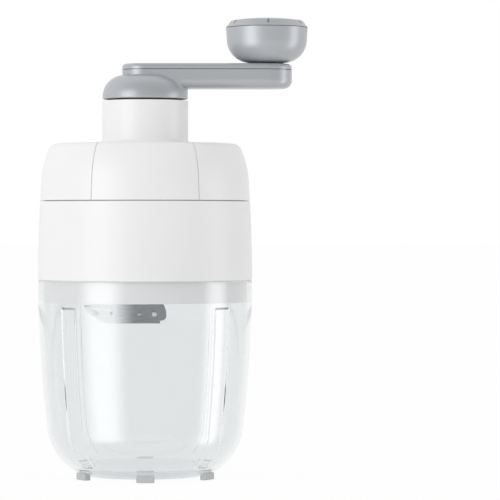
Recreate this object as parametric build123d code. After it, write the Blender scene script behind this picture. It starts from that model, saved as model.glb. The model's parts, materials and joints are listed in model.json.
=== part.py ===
"""Hand-cranked ice shaver: clear cup, white housing and cap, grey crank with a turning knob.

Millimetres, +Z up. The origin lies on the spindle axis, at the table under the feet.
The crank arm points along +X and the front of the object faces -Y.
"""

import os
from math import asin, cos, degrees, pi, radians, sin, sqrt, tan

from build123d import *

# ---------------------------------------------------------------- driving dimensions

# Barrel: cup, housing and cap share one gently bowed outline
barrel_radius = 59.3  # outer radius at the cup's rim, where the barrel is widest
barrel_bow = 810.0  # radius of the bowed side above the rim
cup_bow = 680.0  # and below it

# Clear cup
foot_drop = 1.2  # how far the feet stand below the cup
cup_height = 108.0
cup_wall = 2.4
cup_floor = 5.6
cup_corner_radius = 30.4
cup_corner_lift = 28.9  # height of the corner's centre above the cup's underside
cup_floor_fillet = 5.0
cup_rim_fillet = 0.5
flute_count = 4
flute_radius = 20.0  # of the hollow, in level section
flute_depth = 1.2
flute_top_gap = 14.2  # below the rim
flute_bottom_gap = 5.0  # above the cup's underside

# Rubber feet
foot_count = 6
foot_inset = 20.0  # pitch circle inside the barrel's widest radius
foot_length = 9.5
foot_width = 3.8
foot_height = 3.8
foot_fillet = 0.4

# Housing
band_height = 43.9
band_wall = 2.6
band_floor = 2.4
seam_gap = 0.4  # shadow gap above the band
rim_gap = 0.1  # between the band and the cup's rim
band_edge_fillet = 0.6
collar_depth = 11.9
collar_wall = 2.0
collar_clearance = 0.35
ledge_width = 4.0
ledge_height = 2.5

# Ice chamber
chamber_inset = 14.3  # inside of the chamber from the barrel's widest radius
chamber_wall = 2.0
chamber_floor = 2.4
chamber_floor_lift = 0.3  # floor's underside above the collar's lower edge
chamber_height = 46.0  # floor to the top of the flange
flange_thickness = 2.2
flange_clearance = 0.4
slot_front = 5.0  # from the cutting edge to the slot's front wall
slot_gap = 0.4  # behind and beside the blade

# Blade and its holder
blade_tilt = 52.0  # degrees from level
blade_thickness = 1.2
blade_proud = 0.6  # cutting edge above the chamber's floor
blade_width = 20.1  # lower edge to cutting edge, along the slope
blade_centre_x = -11.2
blade_tongue_half = 19.5
blade_end_reach = 22.9  # from the blade's centre to its ends
blade_body_width = 14.2
blade_step = 2.0
blade_bevel = 1.6
peg_offset = 16.3
peg_radius = 1.45
pin_offset = 7.8
pin_radius = 0.75
peg_height = 7.0  # above the blade's lower edge, along the slope
peg_proud = 0.6
hole_clearance = 0.08
holder_depth = 13.0
holder_side_gap = 4.5  # the blade's tongue overhangs the holder by this much
holder_rise = 2.6  # holder's lower face above the blade's lower edge
holder_screw_offset = 13.0
holder_screw_radius = 1.6
holder_screw_length = 9.0
holder_head_radius = 2.8
holder_head_height = 1.8

# Cap
shoulder_height = 12.9  # start of the shoulder above the seam
shoulder_radius = 44.0
shoulder_rise = 14.8
cap_height = 32.1
cap_crown = 0.6  # fall of the top from the neck to the shoulder
cap_corner_fillet = 4.5
cap_wall = 2.4
cap_groove_count = 6
cap_groove_width = 0.7
cap_groove_depth = 0.5
cap_groove_inner_gap = 3.2  # from the neck to the groove's inner end
skirt_depth = 6.0
skirt_wall = 2.0
skirt_clearance = 0.4
skirt_root = 4.0
neck_radius = 23.8
neck_height = 23.3
neck_bore_radius = 20.5
neck_web = 6.0
neck_foot_fillet = 2.5

# Bush between neck and hub
bush_radius = 11.0
bush_fit = 0.05
bush_flange_radius = 19.0
bush_flange = 0.8
running_clearance = 0.05
end_play = 0.1

# Spindle
spindle_radius = 9.0
spindle_collar_radius = 14.0
spindle_collar = 2.5
collar_play = 0.3
spindle_hex = 15.4  # across flats
hex_height = 6.5
hex_clearance = 0.05
bore_side = 10.6
guide_height = 4.0

# Crank arm and hub
hub_radius = 23.6
hub_height = 13.4
hub_corner = 12.0
hub_edge_fillet = 0.7
hub_pocket_wall = 2.8
hub_pocket_inner = 12.0
hub_pocket_depth = 4.5
arm_hub_half_width = 12.7
arm_knob_half_width = 13.9
arm_clear_height = 6.0  # arm's underside above the hub's lower edge
arm_height = 13.6
crank_radius = 67.5
arm_floor = 3.0
arm_wall = 2.2
arm_end_radius = 4.5
cover_height = 3.4
cover_fillet = 2.0
cover_gap = 0.35
cover_lip_depth = 2.0
cover_lip_wall = 1.2
cover_lip_clearance = 0.15

# Crank screw
screw_radius = 2.0
screw_length = 9.0
screw_head_radius = 3.8
screw_head_height = 2.6
washer_radius = 5.5
washer_thickness = 1.0
screw_clearance = 0.1
driver_recess = 2.5  # across flats

# Knob, turning on a shoulder screw
knob_radius = 22.7
knob_gap = 0.8  # above the arm's cover
knob_corner = 12.8
knob_draft = 4.0  # degrees that the bowl's side leans out
knob_body_height = 19.4
knob_cap_height = 5.4
knob_bevel_height = 3.8
knob_bevel_width = 2.8
knob_edge_fillet = 0.6
knob_seam = 0.3
knob_wall = 2.4
knob_floor = 2.6
knob_boss_wall = 2.4
notch_count = 6
notch_width = 1.0
notch_depth = 1.6
knob_lip_depth = 2.2
axle_radius = 4.0
axle_thread_radius = 2.5
axle_thread_length = 8.0
axle_head_radius = 6.5
axle_head_height = 3.0
axle_socket = 4.0
axle_hole_gap = 0.6
boss_radius = 7.0
knob_bush_wall = 2.4
knob_bush_length = 12.6
knob_bush_flange_radius = 9.2
knob_bush_flange = 1.2
knob_washer_radius = 7.0
knob_washer_thickness = 0.6

# Press that feeds the ice, on a square shaft
press_travel = 44.0
press_gap = 1.0  # spike tips above the cutting edge at rest
press_clearance = 3.0  # round the press in the chamber
press_thickness = 3.0
press_boss_radius = 9.5
press_boss_height = 4.5
press_rib_height = 3.5
press_rib_width = 1.8
press_rib_count = 6
press_edge_gap = 2.0  # rib's end to the disc's edge
spike_plate_inset = 5.0  # from the press's edge
spike_plate_thickness = 1.0
spike_height = 3.4
spike_radius = 1.7
spike_rings = ((0.35, 4), (0.78, 8))  # pitch as a share of the plate's radius, and number
shaft_side = 8.0
shaft_fit = 0.05
shaft_head_side = 10.4
shaft_head_height = 3.0
shaft_socket_clearance = 0.05
press_screw_radius = 1.5
press_screw_pitch_radius = 21.0
press_screw_count = 3
press_screw_head_radius = 2.7
press_screw_head_height = 1.6
press_screw_length = 3.0

# Feed spring round the spindle
spring_radius = 11.2  # centre line of the wire
spring_wire = 1.8
spring_turns = 8
spring_seat_gap = 0.15

# ---------------------------------------------------------------- heights

cup_base_z = foot_drop
rim_z = cup_base_z + cup_height
seam_z = rim_z + band_height
cap_top_z = seam_z + cap_height
neck_top_z = cap_top_z + neck_height
bush_top_z = neck_top_z + bush_flange
hub_z = bush_top_z + end_play
arm_z = hub_z + arm_clear_height
arm_top_z = arm_z + arm_height
cover_z = arm_top_z - cover_height
arm_floor_z = arm_z + arm_floor
knob_z = arm_top_z + knob_gap
knob_seam_z = knob_z + knob_body_height
knob_top_z = knob_seam_z + knob_cap_height

collar_z = rim_z - collar_depth
chamber_base_z = collar_z + chamber_floor_lift
chamber_floor_z = chamber_base_z + chamber_floor
flange_top_z = chamber_floor_z + chamber_height
flange_z = flange_top_z - flange_thickness
edge_z = chamber_floor_z + blade_proud

spike_tip_z = edge_z + press_gap
spike_plate_z = spike_tip_z + spike_height
press_z = spike_plate_z + spike_plate_thickness
press_top_z = press_z + press_thickness
press_boss_z = press_top_z + press_boss_height
guide_z = press_boss_z + press_travel + collar_play
guide_top_z = guide_z + guide_height
shaft_head_z = guide_top_z + end_play
shaft_top_z = shaft_head_z + shaft_head_height
bore_top_z = shaft_top_z + press_travel + collar_play
web_z = neck_top_z - neck_web
spindle_collar_z = web_z - collar_play - spindle_collar
hex_top_z = hub_z + hex_height

# ---------------------------------------------------------------- radii

foot_pitch_radius = barrel_radius - foot_inset
collar_radius = barrel_radius - cup_wall - collar_clearance
chamber_radius = barrel_radius - chamber_inset
press_radius = chamber_radius - press_clearance
spike_plate_radius = press_radius - spike_plate_inset
cap_groove_inner_radius = neck_radius + cap_groove_inner_gap

# Centre of the cup's lower corner, whose arc meets the bowed side without a break
corner_z = cup_base_z + cup_corner_lift
corner_lean = asin((rim_z - corner_z) / (cup_bow - cup_corner_radius))
corner_r = barrel_radius - cup_bow + (cup_bow - cup_corner_radius) * cos(corner_lean)

# ---------------------------------------------------------------- helpers


def at(r, z):
    """A point of a turned outline, in the XZ plane."""
    return (r, 0, z)


def barrel_r(z, inset=0.0):
    """Radius of the bowed barrel, or of a surface inset into it, at height z."""
    bow = cup_bow if z < rim_z else barrel_bow
    return barrel_radius - bow + sqrt((bow - inset) ** 2 - (z - rim_z) ** 2)


def barrel_side(z0, z1, inset=0.0):
    """The barrel's side from one height to another, as an arc."""
    heights = (z0, (z0 + z1) / 2, z1)
    return ThreePointArc(*[at(barrel_r(z, inset), z) for z in heights])


def turned(*edges):
    """A solid of revolution about Z from the edges of its half section."""
    return revolve(make_face(Curve() + list(edges)), Axis.Z)


def turned_loop(*points):
    """A solid of revolution from the corners of a straight-sided half section."""
    return turned(Polyline(*[at(r, z) for r, z in points], close=True))


def ring(r_in, r_out, z0, z1):
    """A plain ring about Z."""
    return turned_loop((r_in, z0), (r_out, z0), (r_out, z1), (r_in, z1))


def rod(radius, z0, z1, x=0.0, y=0.0):
    """A vertical cylinder between two heights."""
    return Pos(x, y, z0) * Cylinder(radius, z1 - z0, align=(Align.CENTER, Align.CENTER, Align.MIN))


def bar(side, z0, z1):
    """A vertical square bar about Z."""
    return Pos(0, 0, z0) * Box(side, side, z1 - z0, align=(Align.CENTER, Align.CENTER, Align.MIN))


def hex_bar(flats, z0, z1, x=0.0):
    """A vertical hexagonal bar, sized across its flats."""
    outline = Pos(x, 0, z0) * RegularPolygon(flats / sqrt(3), 6)
    return extrude(outline, z1 - z0)


def rims(shape, z, r=None):
    """Circular edges of a turned shape at a height and, if given, a radius."""
    found = [
        e
        for e in shape.edges().filter_by(GeomType.CIRCLE)
        if abs(e.bounding_box().min.Z - z) < 0.01 and abs(e.bounding_box().max.Z - z) < 0.01
    ]
    return [e for e in found if r is None or abs(e.radius - r) < 0.02]


def around(shape, count, start=0.0):
    """Copies of a shape spaced evenly about Z."""
    return [Rot(0, 0, start + 360 * i / count) * shape for i in range(count)]


def export(name, *shapes):
    """Write one sub-part as a STEP file."""
    solids = [s for shape in shapes for s in shape.solids()]
    export_step(solids[0] if len(solids) == 1 else Compound(children=solids), f"parts/{name}.step")


# ---------------------------------------------------------------- clear cup and feet


def cup_form(inset, floor_z, top_z):
    """The cup's outline as a solid: bowed side, large corner and flat floor, inset by a wall."""
    radius = cup_corner_radius - inset
    low = asin((corner_z - floor_z) / radius)

    def corner(angle):
        return at(corner_r + radius * cos(angle), corner_z - radius * sin(angle))

    return turned(
        Line(at(0, floor_z), corner(low)),
        ThreePointArc(corner(low), corner((low + corner_lean) / 2), corner(corner_lean)),
        barrel_side(corner(corner_lean)[2], top_z, inset),
        Line(at(barrel_r(top_z, inset), top_z), at(0, top_z)),
        Line(at(0, top_z), at(0, floor_z)),
    )


def foot_pad(clearance=0.0):
    """One rubber foot: an arc-shaped pad on the front of its ring."""
    half_width = foot_width / 2 + clearance
    turn = 2 * (foot_length / 2 + clearance) / foot_pitch_radius * 180 / pi
    section = Polyline(
        at(foot_pitch_radius - half_width, 0),
        at(foot_pitch_radius + half_width, 0),
        at(foot_pitch_radius + half_width, foot_height + clearance),
        at(foot_pitch_radius - half_width, foot_height + clearance),
        close=True,
    )
    pad = revolve(make_face(section), Axis.Z, turn)
    return Rot(0, 0, -90 - turn / 2) * pad


def turned_about(face, x, z, angle):
    """A face turned about the level axis, parallel to Y, through a point of the XZ plane."""
    return revolve(face, Axis((x, 0, z), (0, 1, 0)), degrees(angle))


def flute():
    """Cutter of one hollow flute: a round bar that follows the cup's side and corner."""
    lift = flute_radius - flute_depth
    half_length = sqrt(2 * flute_radius * flute_depth - flute_depth**2)
    bow_r = cup_bow + lift
    bend_r = cup_corner_radius + lift
    start = asin((flute_top_gap + half_length) / bow_r)
    end = asin((corner_z - cup_base_z - flute_bottom_gap) / cup_corner_radius) - half_length / cup_corner_radius

    def circle(x, z, radius, angle):
        place = Plane(
            origin=(x + radius * cos(angle), 0, z - radius * sin(angle)),
            x_dir=(0, 1, 0),
            z_dir=(-sin(angle), 0, -cos(angle)),
        )
        return place * Circle(flute_radius)

    bow_x = barrel_radius - cup_bow
    side = turned_about(circle(bow_x, rim_z, bow_r, start), bow_x, rim_z, corner_lean - start)
    bend = turned_about(circle(corner_r, corner_z, bend_r, corner_lean), corner_r, corner_z, end - corner_lean)
    top = Pos(bow_x + bow_r * cos(start), 0, rim_z - bow_r * sin(start)) * Sphere(flute_radius)
    bottom = Pos(corner_r + bend_r * cos(end), 0, corner_z - bend_r * sin(end)) * Sphere(flute_radius)
    return side + bend + top + bottom


def clear_cup():
    """Clear drinking cup with outer flutes and pockets for the feet."""
    floor_z = cup_base_z + cup_floor
    outer = cup_form(0, cup_base_z, rim_z)
    inner = cup_form(cup_wall, floor_z, rim_z)
    inner = fillet(rims(inner, floor_z), cup_floor_fillet)
    cup = outer - inner
    cup = fillet(rims(cup, rim_z), cup_rim_fillet)

    pocket = foot_pad(hole_clearance)
    cutters = around(flute(), flute_count, 180 / flute_count) + around(pocket, foot_count)
    for cutter in cutters:
        cup -= cutter
    return cup


def rubber_feet():
    """Six soft pads under the cup."""
    pad = foot_pad()
    pad = fillet(pad.edges(), foot_fillet)
    return around(pad, foot_count)


# ---------------------------------------------------------------- housing and ice chamber


def housing_shell():
    """White band with the collar that plugs into the cup and a ledge for the chamber."""
    bottom = rim_z + rim_gap
    top = seam_z - seam_gap / 2
    collar_in = collar_radius - collar_wall
    band = turned(
        Line(at(collar_in, bottom), at(barrel_r(bottom), bottom)),
        barrel_side(bottom, top),
        Line(at(barrel_r(top), top), at(barrel_r(top, band_wall), top)),
        barrel_side(top, bottom + band_floor, band_wall),
        Polyline(
            at(barrel_r(bottom + band_floor, band_wall), bottom + band_floor),
            at(collar_in, bottom + band_floor),
            at(collar_in, bottom),
        ),
    )
    collar = ring(collar_in, collar_radius, collar_z, bottom + band_floor / 2)
    wall_r = barrel_r(flange_z, band_wall / 2)
    ledge_in = barrel_r(flange_z, band_wall) - ledge_width
    ledge = turned_loop(
        (ledge_in, flange_z),
        (wall_r, flange_z),
        (wall_r, flange_z - ledge_height - ledge_width),
        (wall_r - band_wall, flange_z - ledge_height - ledge_width),
        (ledge_in, flange_z - ledge_height),
    )
    edges = rims(band, top, barrel_r(top)) + rims(band, bottom, barrel_r(bottom))
    return fillet(edges, band_edge_fillet) + collar + ledge


def slot_box():
    """Space of the blade slot through the chamber's floor."""
    length = 2 * (blade_tongue_half + slot_gap)
    tilt = radians(blade_tilt)
    slot_back = (blade_proud + chamber_floor) / tan(tilt) + blade_thickness / sin(tilt) + slot_gap
    depth = slot_front + slot_back
    box = Box(length, depth, 4 * chamber_floor)
    return Pos(blade_centre_x, (slot_back - slot_front) / 2, chamber_floor_z) * box


def ice_chamber():
    """Drum that holds the ice, with a flange at the top and the blade slot in its floor."""
    outer_r = chamber_radius + chamber_wall
    flange_r = barrel_r(flange_top_z, band_wall) - flange_clearance
    drum = turned_loop(
        (0, chamber_base_z),
        (outer_r, chamber_base_z),
        (outer_r, flange_z),
        (flange_r, flange_z),
        (flange_r, flange_top_z),
        (chamber_radius, flange_top_z),
        (chamber_radius, chamber_floor_z),
        (0, chamber_floor_z),
    )
    drum = fillet(rims(drum, chamber_base_z, outer_r), chamber_wall)
    screws = [rod(holder_screw_radius, chamber_base_z, chamber_floor_z - 0.6, x, y) for x, y in screw_places()]
    drum = drum - slot_box()
    for screw in screws:
        drum -= screw
    return drum


# The blade's own frame: x along the blade, y up the slope, z out of its front face
blade_rise = blade_width * sin(radians(blade_tilt))
blade_run = blade_width * cos(radians(blade_tilt))
blade_plane = Plane(
    origin=(blade_centre_x, blade_run, edge_z - blade_rise),
    x_dir=(1, 0, 0),
    z_dir=(0, -sin(radians(blade_tilt)), -cos(radians(blade_tilt))),
)


def blade_outline():
    """Outline of the blade in its own frame: a swept left end, a stepped right end and a cutting tongue."""
    tongue = blade_tongue_half
    reach = blade_end_reach
    body = blade_body_width
    heel = (-tongue * 0.56, 0)
    shoulder = (-reach, body - blade_step)
    toe_low = (reach - blade_step * 1.3, blade_step)
    toe_high = (reach, body * 0.4)
    low = Polyline(toe_low, (tongue, blade_step), (tongue, 0), heel)
    sweep_end = ThreePointArc(heel, (-reach * 0.8, body * 0.4), shoulder)
    top = Polyline(
        shoulder,
        (-tongue, body - blade_step),
        (-tongue, blade_width),
        (tongue, blade_width),
        (tongue, body),
        (reach - blade_step * 0.9, body),
        (reach, body * 0.58),
        toe_high,
    )
    toe = ThreePointArc(toe_high, (reach - blade_step * 0.35, body * 0.22), toe_low)
    return make_face(Curve() + [low, sweep_end, top, toe])


def peg_spots():
    """Places and radii of the holder's pegs and pins along the blade."""
    return [(-peg_offset, peg_radius), (peg_offset, peg_radius), (-pin_offset, pin_radius), (pin_offset, pin_radius)]


def blade():
    """Steel blade lying on its holder, cutting edge up through the chamber's floor."""
    plate = extrude(blade_outline(), -blade_thickness)
    edge = plate.edges().filter_by(Axis.X).sort_by(Axis.Y)[-2:].sort_by(Axis.Z)[-1]
    plate = chamfer(edge, blade_thickness * 0.8, blade_bevel)
    for x, r in peg_spots():
        plate -= Pos(x, peg_height, 0) * Cylinder(r + hole_clearance, 4 * blade_thickness)
    return blade_plane * plate


def screw_places():
    """Where the holder's screws enter the chamber's floor."""
    y = blade_run + holder_depth / 2
    return [(blade_centre_x + side * holder_screw_offset, y) for side in (-1, 1)]


def blade_holder():
    """White wedge under the chamber's floor that carries the blade on pegs."""
    half = blade_tongue_half - holder_side_gap
    slope = tan(radians(blade_tilt))
    back = blade_thickness / sin(radians(blade_tilt))
    low_z = edge_z - blade_rise + holder_rise
    low_y = blade_run - holder_rise / slope + back
    top_z = chamber_base_z
    top_y = low_y - (top_z - low_z) / slope
    far_y = low_y + holder_depth
    side = Polyline((0, low_y, low_z), (0, far_y, low_z), (0, far_y, top_z), (0, top_y, top_z), close=True)
    block = extrude(make_face(side), half, dir=(1, 0, 0), both=True)
    block = Pos(blade_centre_x, 0, 0) * block
    for x, r in peg_spots():
        peg = Cylinder(r, blade_thickness + peg_proud + 1, align=(Align.CENTER, Align.CENTER, Align.MIN))
        block += blade_plane * Pos(x, peg_height, -blade_thickness - 1) * peg
    head_z = low_z + holder_head_height
    for x, y in screw_places():
        block -= rod(holder_screw_radius + screw_clearance, low_z - 1, top_z + 1, x, y)
        block -= rod(holder_head_radius + screw_clearance, low_z - 1, head_z, x, y)
    return block


def holder_screws():
    """Two screws that hold the blade holder under the chamber."""
    head_top = edge_z - blade_rise + holder_rise + holder_head_height
    screws = []
    for x, y in screw_places():
        screw = rod(holder_screw_radius, head_top, head_top + holder_screw_length, x, y)
        screw += rod(holder_head_radius, head_top - holder_head_height, head_top, x, y)
        screws.append(screw)
    return screws


# ---------------------------------------------------------------- cap and bush


def cap_form(inset, bottom_z, neck_r, neck_z):
    """The cap's domed outline with its neck as a solid, inset by a wall."""
    start_z = seam_z + shoulder_height
    lean = asin((start_z - rim_z) / barrel_bow)
    centre_r = barrel_r(start_z) - shoulder_radius * cos(lean)
    centre_z = start_z - shoulder_radius * sin(lean)
    radius = shoulder_radius - inset
    end = asin((start_z + shoulder_rise - centre_z) / shoulder_radius)

    def shoulder(angle):
        return at(centre_r + radius * cos(angle), centre_z + radius * sin(angle))

    edge = shoulder(end)
    brow_z = cap_top_z - inset - cap_crown
    brow_r = edge[0] - (brow_z - edge[2]) * tan(end)

    def crown(r):
        return at(r, brow_z + cap_crown * (1 - (r / brow_r) ** 2))

    section = make_face(
        Curve()
        + [
            Line(at(0, bottom_z), at(barrel_r(bottom_z, inset), bottom_z)),
            barrel_side(bottom_z, shoulder(lean)[2], inset),
            ThreePointArc(shoulder(lean), shoulder((lean + end) / 2), edge),
            Line(edge, crown(brow_r)),
            ThreePointArc(crown(brow_r), crown((brow_r + neck_r) / 2), crown(neck_r)),
            Polyline(crown(neck_r), at(neck_r, neck_z), at(0, neck_z), at(0, bottom_z)),
        ]
    )
    face = section.face()
    brow = face.vertices().sort_by_distance(crown(brow_r))[0]
    face = face.fillet_2d(cap_corner_fillet - inset * 0.8, [brow])
    foot = face.vertices().sort_by_distance(crown(neck_r))[0]
    face = face.fillet_2d(neck_foot_fillet, [foot])
    return revolve(face, Axis.Z)


def top_cap():
    """White cap with six grooves over its shoulder, a neck and a bearing web."""
    bottom = seam_z + seam_gap / 2
    body = cap_form(0, bottom, neck_radius, neck_top_z)
    body -= cap_form(cap_wall, bottom - 1, neck_bore_radius, web_z)
    body -= rod(bush_radius + bush_fit, web_z - 1, neck_top_z + 1)

    skirt_out = barrel_r(seam_z, band_wall) - skirt_clearance
    skirt_in = skirt_out - skirt_wall
    root_top = bottom + skirt_root
    body += turned_loop(
        (skirt_in, bottom - skirt_depth),
        (skirt_out, bottom - skirt_depth),
        (skirt_out, bottom),
        (barrel_r(bottom, cap_wall / 2), bottom),
        (barrel_r(root_top, cap_wall / 2), root_top),
        (skirt_in, root_top - skirt_wall),
    )

    skin = cap_form(cap_groove_depth, bottom - 1, neck_radius, neck_top_z)
    reach = barrel_radius - cap_groove_inner_radius
    cut = Box(reach, cap_groove_width, 2 * cap_height, align=(Align.MIN, Align.CENTER, Align.CENTER))
    groove = Pos(cap_groove_inner_radius, 0, seam_z) * cut - skin
    for cutter in around(groove, cap_groove_count):
        body -= cutter
    return body


def neck_bush():
    """Flanged plain bearing in the neck; the hub runs on its flange."""
    inner = spindle_radius + running_clearance
    return turned_loop(
        (inner, web_z),
        (bush_radius, web_z),
        (bush_radius, neck_top_z),
        (bush_flange_radius, neck_top_z),
        (bush_flange_radius, bush_top_z),
        (inner, bush_top_z),
    )


# ---------------------------------------------------------------- crank


def spindle():
    """Turned spindle: hexagon for the hub, collar under the neck and a square bore."""
    body = rod(spindle_radius, guide_top_z, hub_z)
    body += rod(spindle_collar_radius, spindle_collar_z, spindle_collar_z + spindle_collar)
    body += hex_bar(spindle_hex, hub_z, hex_top_z)
    body -= bar(bore_side, guide_top_z, bore_top_z)
    body -= rod(screw_radius + running_clearance, bore_top_z, hex_top_z)
    return body


def spindle_guide():
    """End piece of the spindle with the square hole that steers the press shaft."""
    return rod(spindle_radius, guide_z, guide_top_z) - bar(shaft_side + 2 * shaft_fit, guide_z, guide_top_z)


def arm_plan(inset, z0, z1):
    """The arm's plan form, a slot that widens from the hub to the knob axle, between two heights."""
    hub_end = arm_hub_half_width - inset
    knob_end = arm_knob_half_width - inset
    taper = (knob_end - hub_end) / crank_radius
    side = sqrt(1 - taper**2)
    left = -hub_end * taper
    right = crank_radius - knob_end * taper
    outline = [
        Line((left, hub_end * side, z0), (right, knob_end * side, z0)),
        ThreePointArc((right, knob_end * side, z0), (crank_radius + knob_end, 0, z0), (right, -knob_end * side, z0)),
        Line((right, -knob_end * side, z0), (left, -hub_end * side, z0)),
        ThreePointArc((left, -hub_end * side, z0), (-hub_end, 0, z0), (left, hub_end * side, z0)),
    ]
    return extrude(make_face(Curve() + outline), z1 - z0, dir=(0, 0, 1))


def hub_dome():
    """Domed hub over the neck."""
    top = hub_z + hub_height
    corner_r = hub_radius - hub_corner
    skirt_z = top - hub_corner
    bend = radians(45)
    return turned(
        Line(at(0, hub_z), at(hub_radius, hub_z)),
        Line(at(hub_radius, hub_z), at(hub_radius, skirt_z)),
        ThreePointArc(
            at(hub_radius, skirt_z),
            at(corner_r + hub_corner * cos(bend), skirt_z + hub_corner * sin(bend)),
            at(corner_r, top),
        ),
        Line(at(corner_r, top), at(0, top)),
        Line(at(0, top), at(0, hub_z)),
    )


def crank_arm():
    """Hub and arm in one moulding, open at the top under the cover."""
    arm = arm_plan(0, arm_z, cover_z)
    end_edges = [e for e in arm.edges() if abs(e.bounding_box().max.Z - arm_z) < 0.01]
    arm = fillet(end_edges, arm_end_radius)
    root_top = arm_z + arm_end_radius + 1
    root = arm_plan(0, hub_z, root_top) & rod(hub_radius, hub_z, root_top)
    body = hub_dome() + root + arm
    body = fillet(rims(body, hub_z), hub_edge_fillet)

    cavity = arm_plan(arm_wall, arm_floor_z, cover_z + 1)
    boss = rod(boss_radius, arm_floor_z - 1, cover_z, crank_radius)
    body -= cavity - boss
    body -= ring(hub_pocket_inner, hub_radius - hub_pocket_wall, hub_z, hub_z + hub_pocket_depth)
    body -= hex_bar(spindle_hex + 2 * hex_clearance, hub_z, hex_top_z + end_play)
    body -= rod(screw_radius + screw_clearance, hex_top_z, arm_floor_z + 1)
    thread_z = cover_z - axle_thread_length
    body -= rod(axle_thread_radius + running_clearance, thread_z - end_play, cover_z, crank_radius)
    return body


def arm_cover():
    """Lid of the arm with a locating lip and the hole for the knob's axle."""
    lid = arm_plan(0, cover_z + cover_gap, arm_top_z)
    top_edges = [e for e in lid.edges() if abs(e.bounding_box().min.Z - arm_top_z) < 0.01]
    lid = fillet(top_edges, cover_fillet)
    lip_inset = arm_wall + cover_lip_clearance
    lip = arm_plan(lip_inset, cover_z - cover_lip_depth, cover_z + cover_gap)
    lip -= arm_plan(lip_inset + cover_lip_wall, cover_z - cover_lip_depth, cover_z + cover_gap)
    lid += lip
    return lid - rod(axle_radius + axle_hole_gap, cover_z - 1, arm_top_z + 1, crank_radius)


def crank_washer():
    """Washer under the crank screw."""
    return ring(screw_radius + screw_clearance, washer_radius, arm_floor_z, arm_floor_z + washer_thickness)


def crank_screw():
    """Screw that holds the crank on the spindle."""
    seat = arm_floor_z + washer_thickness
    head = rod(screw_head_radius, seat, seat + screw_head_height)
    head = fillet(rims(head, seat + screw_head_height), screw_head_height / 3)
    head -= hex_bar(driver_recess, seat + screw_head_height / 2, seat + screw_head_height + 1)
    return head + rod(screw_radius, seat - screw_length, seat)


# ---------------------------------------------------------------- knob

bush_seat_z = arm_top_z + end_play
bush_end_z = bush_seat_z + knob_bush_length
axle_head_z = bush_end_z + end_play + knob_washer_thickness
knob_bush_radius = axle_radius + running_clearance + knob_bush_wall


def knob_axle():
    """Shoulder screw in the arm's boss."""
    x = crank_radius
    body = rod(axle_radius, cover_z, axle_head_z, x)
    body += rod(axle_thread_radius, cover_z - axle_thread_length, cover_z, x)
    body += rod(axle_head_radius, axle_head_z, axle_head_z + axle_head_height, x)
    head_top = axle_head_z + axle_head_height
    return body - hex_bar(axle_socket, head_top - axle_head_height * 0.6, head_top + 1, x)


def knob_bush():
    """Flanged plain bearing of the knob."""
    inner = axle_radius + running_clearance
    sleeve = turned_loop(
        (inner, bush_seat_z),
        (knob_bush_flange_radius, bush_seat_z),
        (knob_bush_flange_radius, bush_seat_z + knob_bush_flange),
        (knob_bush_radius, bush_seat_z + knob_bush_flange),
        (knob_bush_radius, bush_end_z),
        (inner, bush_end_z),
    )
    return Pos(crank_radius, 0, 0) * sleeve


def knob_washer():
    """Washer under the head of the knob's axle."""
    body = ring(axle_radius + screw_clearance, knob_washer_radius, bush_end_z + end_play, axle_head_z)
    return Pos(crank_radius, 0, 0) * body


def knob_bowl(inset, floor_z, top_z):
    """The knob's bowl outline as a solid, inset by a wall."""
    corner = knob_corner - inset
    centre_z = knob_z + knob_corner
    lean = radians(knob_draft)
    centre_r = knob_radius - knob_corner / cos(lean) - (knob_seam_z - centre_z) * tan(lean)
    side_r = centre_r + corner / cos(lean) + (top_z - centre_z) * tan(lean)
    low = asin(min(1.0, (centre_z - floor_z) / corner))

    def bend(angle):
        return at(centre_r + corner * cos(angle), centre_z - corner * sin(angle))

    return turned(
        Line(at(0, floor_z), bend(low)),
        ThreePointArc(bend(low), bend((low + lean) / 2), bend(lean)),
        Line(bend(lean), at(side_r, top_z)),
        Line(at(side_r, top_z), at(0, top_z)),
        Line(at(0, top_z), at(0, floor_z)),
    )


def knob_body():
    """Bowl-shaped hand knob, hollow under its cap, with a boss for the bush."""
    top = knob_seam_z - knob_seam / 2
    bowl = knob_bowl(0, knob_z, top)
    hollow = knob_bowl(knob_wall, knob_z + knob_floor, top)
    boss = rod(knob_bush_radius + knob_boss_wall, knob_z, bush_end_z - 0.4)
    body = bowl - (hollow - boss)
    body -= rod(knob_bush_radius + bush_fit, knob_z - 1, top + 1)
    body -= rod(knob_bush_flange_radius + bush_fit, knob_z - 1, bush_seat_z + knob_bush_flange + bush_fit)
    return Pos(crank_radius, 0, 0) * body


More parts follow.
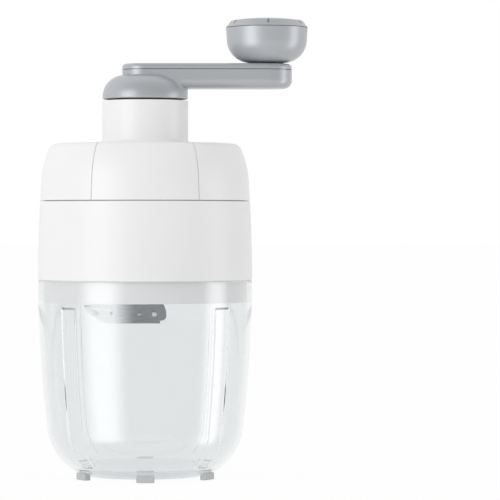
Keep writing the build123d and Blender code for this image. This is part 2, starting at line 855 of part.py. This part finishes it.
def knob_cap():
    """Cap pressed into the knob, its bevelled rim cut by six notches."""
    bottom = knob_seam_z + knob_seam / 2
    bevel_z = knob_seam_z + knob_bevel_height
    bevel_r = knob_radius - knob_bevel_width
    rise = knob_top_z - bevel_z
    sphere = (bevel_r**2 + rise**2) / (2 * rise)
    lip_out = knob_radius - knob_wall - cover_lip_clearance
    lip_in = lip_out - cover_lip_wall
    roof = bottom + cover_lip_wall

    def crown(r):
        return at(r, knob_top_z - sphere + sqrt(sphere**2 - r**2))

    section = make_face(
        Curve()
        + [
            Polyline(
                at(0, roof),
                at(lip_in, roof),
                at(lip_in, bottom - knob_lip_depth),
                at(lip_out, bottom - knob_lip_depth),
                at(lip_out, bottom),
                at(knob_radius, bottom),
                at(bevel_r, bevel_z),
            ),
            ThreePointArc(at(bevel_r, bevel_z), crown(bevel_r / 2), crown(0)),
            Line(crown(0), at(0, roof)),
        ]
    ).face()
    brow = section.vertices().sort_by_distance(at(bevel_r, bevel_z))[0]
    body = revolve(section.fillet_2d(knob_edge_fillet, [brow]), Axis.Z)
    cut = Box(knob_bevel_width + notch_depth, notch_width, knob_cap_height,
              align=(Align.MIN, Align.CENTER, Align.MIN))
    notch = Pos(bevel_r - notch_depth / 2, 0, bottom + notch_depth) * cut
    for cutter in around(notch, notch_count, 90):
        body -= cutter
    return Pos(crank_radius, 0, 0) * body


# ---------------------------------------------------------------- press and spring


def press_screw_places():
    """Directions of the screws that hold the spike plate, between the ribs."""
    return [Rot(0, 0, 360 * (i + 0.5) / press_screw_count) for i in range(press_screw_count)]


def press_disc():
    """Plastic pressing disc with radial ribs and a boss round the square shaft."""
    disc = rod(press_radius, press_z, press_top_z)
    disc = fillet(rims(disc, press_top_z), press_thickness / 3)
    disc += rod(press_boss_radius, press_z, press_boss_z)
    rib_start = spring_radius + spring_wire
    rib_length = press_radius - press_edge_gap - rib_start
    rib = Box(rib_length, press_rib_width, press_rib_height + 1, align=(Align.MIN, Align.CENTER, Align.MIN))
    rib = Pos(rib_start, 0, press_top_z - 1) * rib
    for copy in around(rib, press_rib_count, 180 / press_rib_count):
        disc += copy
    disc -= bar(shaft_side + 2 * shaft_socket_clearance, press_z, press_boss_z + 1)
    hole = rod(press_screw_radius + screw_clearance, press_z - 1, press_z + press_screw_length,
               press_screw_pitch_radius)
    for place in press_screw_places():
        disc -= place * hole
    return disc


def spike_plate():
    """Steel plate with the spikes that grip the ice."""
    plate = rod(spike_plate_radius, spike_plate_z, press_z)
    spike = Pos(0, 0, spike_plate_z - spike_height / 2) * Cone(0.15, spike_radius, spike_height)
    for share, count in spike_rings:
        for copy in around(Pos(share * spike_plate_radius, 0, 0) * spike, count, 180 / count):
            plate += copy
    hole = rod(press_screw_radius + screw_clearance, spike_plate_z - 1, press_z + 1, press_screw_pitch_radius)
    for place in press_screw_places():
        plate -= place * hole
    return plate


def press_screws():
    """Screws from below through the spike plate into the disc."""
    shank = rod(press_screw_radius, spike_plate_z, press_z + press_screw_length - 0.3, press_screw_pitch_radius)
    head = rod(press_screw_head_radius, spike_plate_z - press_screw_head_height, spike_plate_z,
               press_screw_pitch_radius)
    return [place * (shank + head) for place in press_screw_places()]


def press_shaft():
    """Square steel shaft that slides in the spindle, with a wider head that stops it."""
    return bar(shaft_side, press_z, shaft_head_z) + bar(shaft_head_side, shaft_head_z, shaft_top_z)


def press_spring():
    """Helical spring between the press and the spindle's collar."""
    wire = spring_wire / 2
    start = press_top_z + spring_seat_gap + wire
    length = spindle_collar_z - spring_seat_gap - wire - start
    path = Pos(0, 0, start) * Helix(length / spring_turns, length, spring_radius)
    section = Plane(origin=path @ 0, z_dir=path % 0) * RegularPolygon(wire, 8)
    return sweep(section, path, is_frenet=True)


# ---------------------------------------------------------------- write every sub-part

os.makedirs("parts", exist_ok=True)

export("clear_cup", clear_cup())
export("rubber_feet", *rubber_feet())
export("housing_shell", housing_shell())
export("ice_chamber", ice_chamber())
export("blade", blade())
export("blade_holder", blade_holder())
export("holder_screws", *holder_screws())
export("top_cap", top_cap())
export("neck_bush", neck_bush())
export("spindle", spindle())
export("spindle_guide", spindle_guide())
export("crank_arm", crank_arm())
export("arm_cover", arm_cover())
export("crank_washer", crank_washer())
export("crank_screw", crank_screw())
export("knob_axle", knob_axle())
export("knob_bush", knob_bush())
export("knob_washer", knob_washer())
export("knob_body", knob_body())
export("knob_cap", knob_cap())
export("press_disc", press_disc())
export("spike_plate", spike_plate())
export("press_screws", *press_screws())
export("press_shaft", press_shaft())
export("press_spring", press_spring())
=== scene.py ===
"""Studio scene for the hand-cranked ice shaver: materials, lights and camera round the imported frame."""

import json
from math import asin, cos, degrees, hypot, pi, radians, sin, tan

import bpy
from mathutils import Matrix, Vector

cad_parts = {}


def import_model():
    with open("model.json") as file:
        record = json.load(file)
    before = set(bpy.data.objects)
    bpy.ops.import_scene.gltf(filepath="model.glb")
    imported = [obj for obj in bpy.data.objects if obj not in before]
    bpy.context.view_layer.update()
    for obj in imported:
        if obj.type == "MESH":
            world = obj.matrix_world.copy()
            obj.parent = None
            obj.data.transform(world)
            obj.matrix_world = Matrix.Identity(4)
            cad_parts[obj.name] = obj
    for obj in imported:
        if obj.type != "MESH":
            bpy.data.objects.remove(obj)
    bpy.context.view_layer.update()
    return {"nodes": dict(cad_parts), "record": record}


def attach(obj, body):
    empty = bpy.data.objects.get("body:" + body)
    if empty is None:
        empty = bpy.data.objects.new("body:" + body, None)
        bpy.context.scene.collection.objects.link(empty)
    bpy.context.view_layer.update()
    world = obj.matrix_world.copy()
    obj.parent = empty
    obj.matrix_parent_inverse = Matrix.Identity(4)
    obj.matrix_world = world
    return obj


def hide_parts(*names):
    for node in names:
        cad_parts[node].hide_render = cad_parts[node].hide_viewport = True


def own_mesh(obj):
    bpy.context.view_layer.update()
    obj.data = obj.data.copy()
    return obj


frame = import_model()

# ---------------------------------------------------------------- view of the photograph

MM = 0.001
IMAGE_SIDE = 500
SCALE_MM = 0.555  # millimetres per pixel in the plane of the spindle axis
AXIS_X_PX = 145.25  # image column of the spindle axis
FLOOR_Y_PX = 476.8  # image row of the table plane below the axis
HORIZON_Y_PX = 224.0
VIEW_DISTANCE_PX = 3000.0
SENSOR_MM = 36.0


# ---------------------------------------------------------------- node helpers


def new_material(name):
    """An empty node material with its Principled shader."""
    mat = bpy.data.materials.new(name)
    mat.use_nodes = True
    tree = mat.node_tree
    return mat, tree, tree.nodes["Principled BSDF"]


def noise(tree, scale, detail=4.0, roughness=0.5, stretch=None):
    """Noise in the object's own coordinates, stretched along an axis where asked."""
    coords = tree.nodes.new("ShaderNodeTexCoord")
    place = tree.nodes.new("ShaderNodeMapping")
    place.inputs["Scale"].default_value = stretch or (1, 1, 1)
    tex = tree.nodes.new("ShaderNodeTexNoise")
    tex.inputs["Scale"].default_value = scale
    tex.inputs["Detail"].default_value = detail
    tex.inputs["Roughness"].default_value = roughness
    tree.links.new(coords.outputs["Object"], place.inputs["Vector"])
    tree.links.new(place.outputs["Vector"], tex.inputs["Vector"])
    return tex.outputs["Fac"]


def spread(tree, source, low, high, start=0.3, end=0.7):
    """Map a 0..1 texture to a range of numbers."""
    node = tree.nodes.new("ShaderNodeMapRange")
    node.inputs["From Min"].default_value = start
    node.inputs["From Max"].default_value = end
    node.inputs["To Min"].default_value = low
    node.inputs["To Max"].default_value = high
    tree.links.new(source, node.inputs["Value"])
    return node.outputs["Result"]


def tint(tree, source, dark, light):
    """A colour between two close shades, steered by a texture."""
    ramp = tree.nodes.new("ShaderNodeValToRGB")
    ramp.color_ramp.elements[0].position = 0.3
    ramp.color_ramp.elements[1].position = 0.7
    ramp.color_ramp.elements[0].color = (*dark, 1)
    ramp.color_ramp.elements[1].color = (*light, 1)
    tree.links.new(source, ramp.inputs["Fac"])
    return ramp.outputs["Color"]


def combine(tree, operation, first, second):
    """One math node on two sockets or numbers."""
    node = tree.nodes.new("ShaderNodeMath")
    node.operation = operation
    for socket, value in zip(node.inputs, (first, second)):
        if isinstance(value, (int, float)):
            socket.default_value = value
        else:
            tree.links.new(value, socket)
    return node.outputs[0]


def bump(tree, shader, height, distance, strength=1.0):
    """Fine surface relief."""
    node = tree.nodes.new("ShaderNodeBump")
    node.inputs["Distance"].default_value = distance
    node.inputs["Strength"].default_value = strength
    tree.links.new(height, node.inputs["Height"])
    tree.links.new(node.outputs["Normal"], shader.inputs["Normal"])


def moulded(name, dark, light, rough_low, rough_high, grain=2600.0, relief=0.000012):
    """Moulded plastic: a fine eroded grain, faint flow mottling and a satin gloss."""
    mat, tree, shader = new_material(name)
    flow = noise(tree, 22.0, 3.0)
    fine = noise(tree, grain, 2.0)
    tree.links.new(tint(tree, flow, dark, light), shader.inputs["Base Color"])
    tree.links.new(spread(tree, flow, rough_low, rough_high), shader.inputs["Roughness"])
    shader.inputs["IOR"].default_value = 1.5
    bump(tree, shader, fine, relief)
    return mat


def white_plastic():
    return moulded("white_moulding", (0.805, 0.805, 0.805), (0.83, 0.83, 0.83), 0.32, 0.40)


def grey_plastic():
    """Silver-grey moulding: pearl pigment gives it a stronger, softer gloss than the white."""
    mat = moulded("grey_moulding", (0.425, 0.441, 0.463), (0.441, 0.457, 0.479), 0.30, 0.37)
    mat.node_tree.nodes["Principled BSDF"].inputs["Metallic"].default_value = 0.28
    return mat


def bearing_plastic():
    # near-black colour as painted shade, so the gaps under the hub and under the knob read dark
    return moulded("acetal_painted_shade", (0.030, 0.030, 0.031), (0.040, 0.040, 0.041), 0.40, 0.50)


def rubber():
    return moulded("foot_rubber", (0.50, 0.505, 0.51), (0.55, 0.555, 0.56), 0.50, 0.65, 1800.0, 0.00002)


def metal(name, dark, light, rough_low, rough_high, stretch, scale=900.0):
    """Steel with a fine ground or drawn grain along one direction."""
    mat, tree, shader = new_material(name)
    grain = noise(tree, scale, 3.0, 0.6, stretch)
    cloud = noise(tree, 60.0, 3.0)
    tree.links.new(tint(tree, cloud, dark, light), shader.inputs["Base Color"])
    tree.links.new(spread(tree, grain, rough_low, rough_high), shader.inputs["Roughness"])
    shader.inputs["Metallic"].default_value = 1.0
    bump(tree, shader, grain, 0.000004)
    return mat


def blade_steel():
    """Cutting blade of satin-ground steel with a painted highlight: its colour turns near-white towards
    its left end, standing in for the lamp's reflection.
    """
    mat = metal("ground_steel_painted_highlight", (0.24, 0.25, 0.26), (0.27, 0.28, 0.29), 0.18, 0.30, (0.06, 1, 1))
    tree = mat.node_tree
    shader = tree.nodes["Principled BSDF"]
    ground = shader.inputs["Base Color"].links[0].from_socket
    coords = tree.nodes.new("ShaderNodeTexCoord")
    axes = tree.nodes.new("ShaderNodeSeparateXYZ")
    tree.links.new(coords.outputs["Object"], axes.inputs["Vector"])
    # painted highlight: left of x = -17 mm the blade's colour is near-white for the lamp's reflection,
    # fading in from x = -6 mm
    along = spread(tree, axes.outputs["X"], 0.0, 1.0, -0.006, -0.017)
    mix = tree.nodes.new("ShaderNodeMix")
    mix.data_type = "RGBA"
    tree.links.new(along, mix.inputs["Factor"])
    tree.links.new(ground, mix.inputs[6])
    mix.inputs[7].default_value = (0.86, 0.865, 0.87, 1)
    tree.links.new(mix.outputs[2], shader.inputs["Base Color"])
    return mat


def bright_steel():
    return metal("bright_steel", (0.55, 0.56, 0.57), (0.62, 0.63, 0.64), 0.16, 0.24, (1, 1, 0.1))


def spring_steel():
    return metal("drawn_wire", (0.40, 0.41, 0.42), (0.48, 0.49, 0.50), 0.22, 0.32, (0.3, 0.3, 1))


def clear_plastic():
    """Clear cup plastic: polished, faintly hazed, a little grey; lamps shine through it."""
    mat, tree, shader = new_material("clear_moulding")
    shader.inputs["Base Color"].default_value = (0.900, 0.909, 0.914, 1)
    shader.inputs["Transmission Weight"].default_value = 1.0
    shader.inputs["IOR"].default_value = 1.49
    haze = noise(tree, 35.0, 3.0)
    tree.links.new(spread(tree, haze, 0.0, 0.015), shader.inputs["Roughness"])
    path = tree.nodes.new("ShaderNodeLightPath")
    through = tree.nodes.new("ShaderNodeBsdfTransparent")
    through.inputs["Color"].default_value = (0.985, 0.987, 0.988, 1)
    passed = combine(tree, "MAXIMUM", path.outputs["Is Shadow Ray"], path.outputs["Is Diffuse Ray"])
    deep = combine(tree, "GREATER_THAN", path.outputs["Glossy Depth"], 1.5)
    mix = tree.nodes.new("ShaderNodeMixShader")
    out = tree.nodes["Material Output"]
    tree.links.new(combine(tree, "MAXIMUM", passed, deep), mix.inputs["Fac"])
    tree.links.new(shader.outputs["BSDF"], mix.inputs[1])
    tree.links.new(through.outputs["BSDF"], mix.inputs[2])
    tree.links.new(mix.outputs["Shader"], out.inputs["Surface"])
    body = tree.nodes.new("ShaderNodeVolumeAbsorption")
    body.inputs["Color"].default_value = (0.62, 0.66, 0.68, 1)
    body.inputs["Density"].default_value = 30.0
    tree.links.new(body.outputs["Volume"], out.inputs["Volume"])
    return mat


MATERIALS = {
    "clear_plastic": clear_plastic,
    "white_plastic": white_plastic,
    "grey_plastic": grey_plastic,
    "bearing_plastic": bearing_plastic,
    "grey_rubber": rubber,
    "blade_steel": blade_steel,
    "bright_steel": bright_steel,
    "spring_steel": spring_steel,
}


def dress_nodes(made):
    """Give every carried-over node the material of its slot."""
    for part in frame["record"]["subparts"]:
        obj = frame["nodes"][part["node"]]
        obj.data.materials.clear()
        obj.data.materials.append(made[part["material_slot"]])


# ---------------------------------------------------------------- clear cup

RIM_R, RIM_Z = 59.28, 109.2
BOW_R = 680.0  # radius of the bowed side, centred level with the rim
CORNER_R, CORNER_Z, CORNER_ROUND = 24.07, 30.1, 30.4  # centre and radius of the lower corner
CORNER_LEAN = 6.99  # degrees below level, where the side meets the corner
CUP_WALL = 2.4
UNDERSIDE_Z, UNDERSIDE_ROUND = 1.2, 1.6
FLOOR_Z, FLOOR_ROUND = 6.8, 5.0
RIM_ROUND = 0.5
OUTER_STEPS, INNER_STEPS = 120, 30  # rows up the bowed side
FINE_REACH, FINE_STEP = 1.6, 0.22  # finer rows at the flutes' ends
GAP_COLUMNS = 30  # columns from one flute to the next
HUB_R = 30.0  # inside this radius the columns keep their angles
FLUTES = (45, 135, 225, 315)
FLUTE_HALF = 5.9
FLUTE_DEPTH = 0.45
FLUTE_EDGE = 1.5  # width of its soft side walls
FLUTE_TOP = 14.0  # below the rim, along the side
FLUTE_END_Z = 7.5


def smooth(value, start, end):
    """0 before start, 1 after end, a soft step between."""
    x = min(max((value - start) / (end - start), 0.0), 1.0)
    return x * x * (3 - 2 * x)


def arc(r, z, radius, start, end, steps):
    """Points of an arc in the half section; angles in degrees below level."""
    angles = [radians(start + (end - start) * i / steps) for i in range(steps + 1)]
    return [(r + radius * cos(a), z - radius * sin(a)) for a in angles]


def cup_half(inset, floor_z, rounding, steps):
    """Half section from the axis along the floor, round the corner and up to the rim's rounding."""
    hang = CORNER_ROUND - inset - rounding
    low = degrees(asin((CORNER_Z - floor_z - rounding) / hang))
    foot_r = CORNER_R + hang * cos(radians(low))
    top = degrees(asin(RIM_ROUND / (BOW_R - inset)))
    line = [(foot_r * k / 4, floor_z) for k in range(1, 4)]
    line += arc(foot_r, floor_z + rounding, rounding, 90, low, 8)
    line += arc(CORNER_R, CORNER_Z, CORNER_ROUND - inset, low, CORNER_LEAN, 36)[1:]
    line += arc(RIM_R - BOW_R, RIM_Z, BOW_R - inset, CORNER_LEAN, top, steps)[1:]
    return line


def with_rows(line, places, reach, step):
    """The half section with finer rows within reach of these heights."""
    rows = [line[0]]
    for (r0, z0), (r1, z1) in zip(line, line[1:]):
        near = any(min(z0, z1) - reach < z < max(z0, z1) + reach for z in places)
        parts = max(1, round(hypot(r1 - r0, z1 - z0) / step)) if near else 1
        rows += [(r0 + (r1 - r0) * k / parts, z0 + (z1 - z0) * k / parts) for k in range(1, parts + 1)]
    return rows


def flute_sink(across, down, z):
    """How deep the outside sinks at this distance from a flute's middle line."""
    side = 1 - smooth(abs(across), FLUTE_HALF - FLUTE_EDGE, FLUTE_HALF)
    ends = smooth(down, FLUTE_TOP, FLUTE_TOP + FLUTE_EDGE) * smooth(z, FLUTE_END_Z - 2, FLUTE_END_Z + 2)
    return FLUTE_DEPTH * side * ends


def columns():
    """Columns as (flute angle, offset in mm, share of the gap to the next flute)."""
    edge = [FLUTE_HALF - FLUTE_EDGE * k / 8 for k in range(9)]
    half = [FLUTE_HALF + 2.0, FLUTE_HALF + 0.7] + edge + [3.2, 1.6]
    offsets = [-x for x in half] + [0.0] + half[::-1]
    found = []
    for i, angle in enumerate(FLUTES):
        found += [(angle, x, 0.0) for x in offsets]
        found += [(angle, offsets[-1], k / GAP_COLUMNS) for k in range(1, GAP_COLUMNS)]
    return found, 2 * offsets[-1]


def clear_cup_mesh():
    """The cup as one smooth shell: bowed side, large corner, soft-edged flutes and a rounded rim."""
    top = RIM_Z - FLUTE_TOP
    outer = with_rows(cup_half(0, UNDERSIDE_Z, UNDERSIDE_ROUND, OUTER_STEPS), (top, FLUTE_END_Z),
                      FINE_REACH, FINE_STEP)
    inner = cup_half(CUP_WALL, FLOOR_Z, FLOOR_ROUND, INNER_STEPS)
    lip_out = arc(RIM_R - RIM_ROUND, RIM_Z - RIM_ROUND, RIM_ROUND, 0, -90, 5)[1:]
    lip_in = arc(RIM_R - CUP_WALL + RIM_ROUND, RIM_Z - RIM_ROUND, RIM_ROUND, -90, -180, 5)[:-1]
    rows = outer + lip_out + lip_in + inner[::-1]
    spread_columns, width = columns()
    verts, faces = [], []
    for i, (r, z) in enumerate(rows):
        r0, z0 = rows[max(i - 1, 0)]
        r1, z1 = rows[min(i + 1, len(rows) - 1)]
        length = hypot(r1 - r0, z1 - z0)
        out_r, out_z = (z1 - z0) / length, (r0 - r1) / length
        hub = max(r, HUB_R)
        for angle, offset, share in spread_columns:
            turn = radians(angle) + offset / hub + share * (pi / 2 - width / hub)
            sink = flute_sink(offset, RIM_Z - z, z) if i < len(outer) and share == 0.0 else 0.0
            rr = r - sink * out_r
            verts.append((rr * cos(turn) * MM, rr * sin(turn) * MM, (z - sink * out_z) * MM))
    n = len(spread_columns)
    for i in range(len(rows) - 1):
        for j in range(n):
            k = (j + 1) % n
            faces.append((i * n + j, i * n + k, (i + 1) * n + k, (i + 1) * n + j))
    for z, row, flip in ((UNDERSIDE_Z, 0, True), (FLOOR_Z, len(rows) - 1, False)):
        verts.append((0, 0, z * MM))
        for j in range(n):
            a, b = row * n + j, row * n + (j + 1) % n
            faces.append((len(verts) - 1, b, a) if flip else (len(verts) - 1, a, b))
    mesh = bpy.data.meshes.new("cup_shell")
    mesh.from_pydata(verts, [], faces)
    mesh.polygons.foreach_set("use_smooth", [True] * len(faces))
    mesh.update()
    return mesh


def dress_cup(material):
    """Put the smooth shell in place of the cup's faceted solid."""
    cup = bpy.data.objects.new("cup_shell", clear_cup_mesh())
    bpy.context.collection.objects.link(cup)
    cup.data.materials.append(material)
    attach(cup, "cup")
    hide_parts("clear_cup")


# ---------------------------------------------------------------- feed spring


def dress_spring():
    """The feed spring as its own copy of the press spring's mesh, carried by the crank."""
    spring = bpy.data.objects.new("feed_spring", frame["nodes"]["press_spring"].data.copy())
    bpy.context.collection.objects.link(spring)
    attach(spring, "crank")
    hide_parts("press_spring")
    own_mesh(spring)


# ---------------------------------------------------------------- stage, lights, camera


ROOM_FADE = (-0.45, 0.15)  # where the dimmer room in front turns into the white one behind, along Y


def world(ambient, front):
    """White to the eye, softer light on the object, and reflections that are dimmer in front."""
    scene_world = bpy.data.worlds.new("studio")
    scene_world.use_nodes = True
    tree = scene_world.node_tree
    background = tree.nodes["Background"]
    background.inputs["Color"].default_value = (1, 1, 1, 1)
    path = tree.nodes.new("ShaderNodeLightPath")
    clear = combine(tree, "MAXIMUM", path.outputs["Is Camera Ray"], path.outputs["Is Transmission Ray"])
    coords = tree.nodes.new("ShaderNodeTexCoord")
    axes = tree.nodes.new("ShaderNodeSeparateXYZ")
    tree.links.new(coords.outputs["Generated"], axes.inputs["Vector"])
    room = spread(tree, axes.outputs["Y"], front, 1.0, *ROOM_FADE)
    level = spread(tree, clear, ambient, 1.0, 0.0, 1.0)
    blend = tree.nodes.new("ShaderNodeMix")
    blend.data_type = "FLOAT"
    tree.links.new(path.outputs["Is Glossy Ray"], blend.inputs["Factor"])
    tree.links.new(level, blend.inputs["A"])
    tree.links.new(room, blend.inputs["B"])
    served = combine(tree, "MAXIMUM", path.outputs["Is Glossy Ray"], path.outputs["Is Transmission Ray"])
    # the floor already lends these rays its own white below the horizon
    below = combine(tree, "MULTIPLY", served, combine(tree, "LESS_THAN", axes.outputs["Z"], 0.0))
    above = combine(tree, "SUBTRACT", 1.0, below)
    strength = combine(tree, "MULTIPLY", blend.outputs["Result"], above)
    tree.links.new(strength, background.inputs["Strength"])
    bpy.context.scene.world = scene_world


FLOOR_SIDE = 40.0
FLOOR_DROP = 0.0002  # below the feet
FLOOR_GREY = 0.85
FLOOR_WHITE = 1.01


def floor(glow):
    """Pale floor that reads white with a faint shadow; in reflections the lamps show through it."""
    bpy.ops.mesh.primitive_plane_add(size=FLOOR_SIDE, location=(0, 0, -FLOOR_DROP))
    plane = bpy.context.object
    plane.name = "floor"
    mat = bpy.data.materials.new("floor_white")
    mat.use_nodes = True
    tree = mat.node_tree
    tree.nodes.clear()
    path = tree.nodes.new("ShaderNodeLightPath")
    matt = tree.nodes.new("ShaderNodeBsdfDiffuse")
    matt.inputs["Color"].default_value = (FLOOR_GREY, FLOOR_GREY, FLOOR_GREY, 1)
    light = tree.nodes.new("ShaderNodeEmission")
    light.inputs["Strength"].default_value = FLOOR_WHITE
    past = tree.nodes.new("ShaderNodeAddShader")
    opening = tree.nodes.new("ShaderNodeBsdfTransparent")
    tree.links.new(opening.outputs["BSDF"], past.inputs[0])
    tree.links.new(light.outputs["Emission"], past.inputs[1])
    seen = tree.nodes.new("ShaderNodeMixShader")
    mix = tree.nodes.new("ShaderNodeMixShader")
    out = tree.nodes.new("ShaderNodeOutputMaterial")
    tree.links.new(spread(tree, path.outputs["Is Camera Ray"], 0.0, glow, 0.0, 1.0), seen.inputs["Fac"])
    tree.links.new(matt.outputs["BSDF"], seen.inputs[1])
    tree.links.new(light.outputs["Emission"], seen.inputs[2])
    served = combine(tree, "MAXIMUM", path.outputs["Is Glossy Ray"], path.outputs["Is Transmission Ray"])
    tree.links.new(served, mix.inputs["Fac"])
    tree.links.new(seen.outputs["Shader"], mix.inputs[1])
    tree.links.new(past.outputs["Shader"], mix.inputs[2])
    tree.links.new(mix.outputs["Shader"], out.inputs["Surface"])
    mat.cycles.emission_sampling = "NONE"
    plane.data.materials.append(mat)


LAMP_TARGET = (0.01, 0, 0.10)
LAMP_END_FADE = 0.25  # share of its height over which a lamp fades at either end
LAMP_WALLS = 2.5  # a lamp shows through no more surfaces of the cup than this


def softbox(name, azimuth, low, high, across, radiance, edge, distance=2.4):
    """A lamp with soft sides that spans these elevations and this width, in degrees.

    Azimuth 0 is the camera's.
    """
    a, e = radians(azimuth), radians((low + high) / 2)
    target = Vector(LAMP_TARGET)
    where = target + distance * Vector((sin(a) * cos(e), -cos(a) * cos(e), sin(e)))
    lamp = bpy.data.lights.new(name, "AREA")
    lamp.shape = "RECTANGLE"
    lamp.size = 2 * distance * tan(radians(across / 2))
    lamp.size_y = 2 * distance * tan(radians((high - low) / 2))
    lamp.energy = radiance * pi * lamp.size * lamp.size_y
    lamp.use_nodes = True
    tree = lamp.node_tree
    place = tree.nodes.new("ShaderNodeNewGeometry")
    axes = tree.nodes.new("ShaderNodeSeparateXYZ")
    tree.links.new(place.outputs["Parametric"], axes.inputs["Vector"])
    path = tree.nodes.new("ShaderNodeLightPath")
    level = combine(tree, "LESS_THAN", path.outputs["Transmission Depth"], LAMP_WALLS)
    for axis, fade in (("X", edge), ("Y", LAMP_END_FADE)):
        aside = combine(tree, "ABSOLUTE", combine(tree, "SUBTRACT", axes.outputs[axis], 0.5), 0.0)
        side = spread(tree, aside, 1.0, 0.0, 0.5 - fade, 0.5)
        side.node.interpolation_type = "SMOOTHSTEP"
        level = combine(tree, "MULTIPLY", level, side)
    tree.links.new(level, tree.nodes["Emission"].inputs["Strength"])
    obj = bpy.data.objects.new(name, lamp)
    obj.location = where
    obj.rotation_euler = (target - where).to_track_quat("-Z", "Y").to_euler()
    bpy.context.collection.objects.link(obj)
    return obj


def camera():
    """The photograph's view: level with the cap, a little above the cup."""
    scale = SCALE_MM * MM
    distance = VIEW_DISTANCE_PX * scale
    height = (FLOOR_Y_PX - HORIZON_Y_PX) * scale
    middle = IMAGE_SIDE / 2
    lens = bpy.data.cameras.new("camera")
    lens.sensor_width = SENSOR_MM
    lens.lens = SENSOR_MM * VIEW_DISTANCE_PX / IMAGE_SIDE
    lens.clip_end = 20
    obj = bpy.data.objects.new("camera", lens)
    obj.location = (0, -distance, height)
    target = Vector(((middle - AXIS_X_PX) * scale, 0, (FLOOR_Y_PX - middle) * scale))
    obj.rotation_euler = (target - obj.location).to_track_quat("-Z", "Y").to_euler()
    bpy.context.collection.objects.link(obj)
    bpy.context.scene.camera = obj


bpy.context.scene.view_settings.view_transform = "Standard"
camera()
world(0.82, 0.3)
floor(0.93)
softbox("key_left", -48, -38, 34, 60, 3.1, 0.42)
softbox("fill_right", 82, -38, 20, 40, 2.7, 0.42)
made = {slot: make() for slot, make in MATERIALS.items()}
dress_nodes(made)
dress_cup(made["clear_plastic"])
dress_spring()
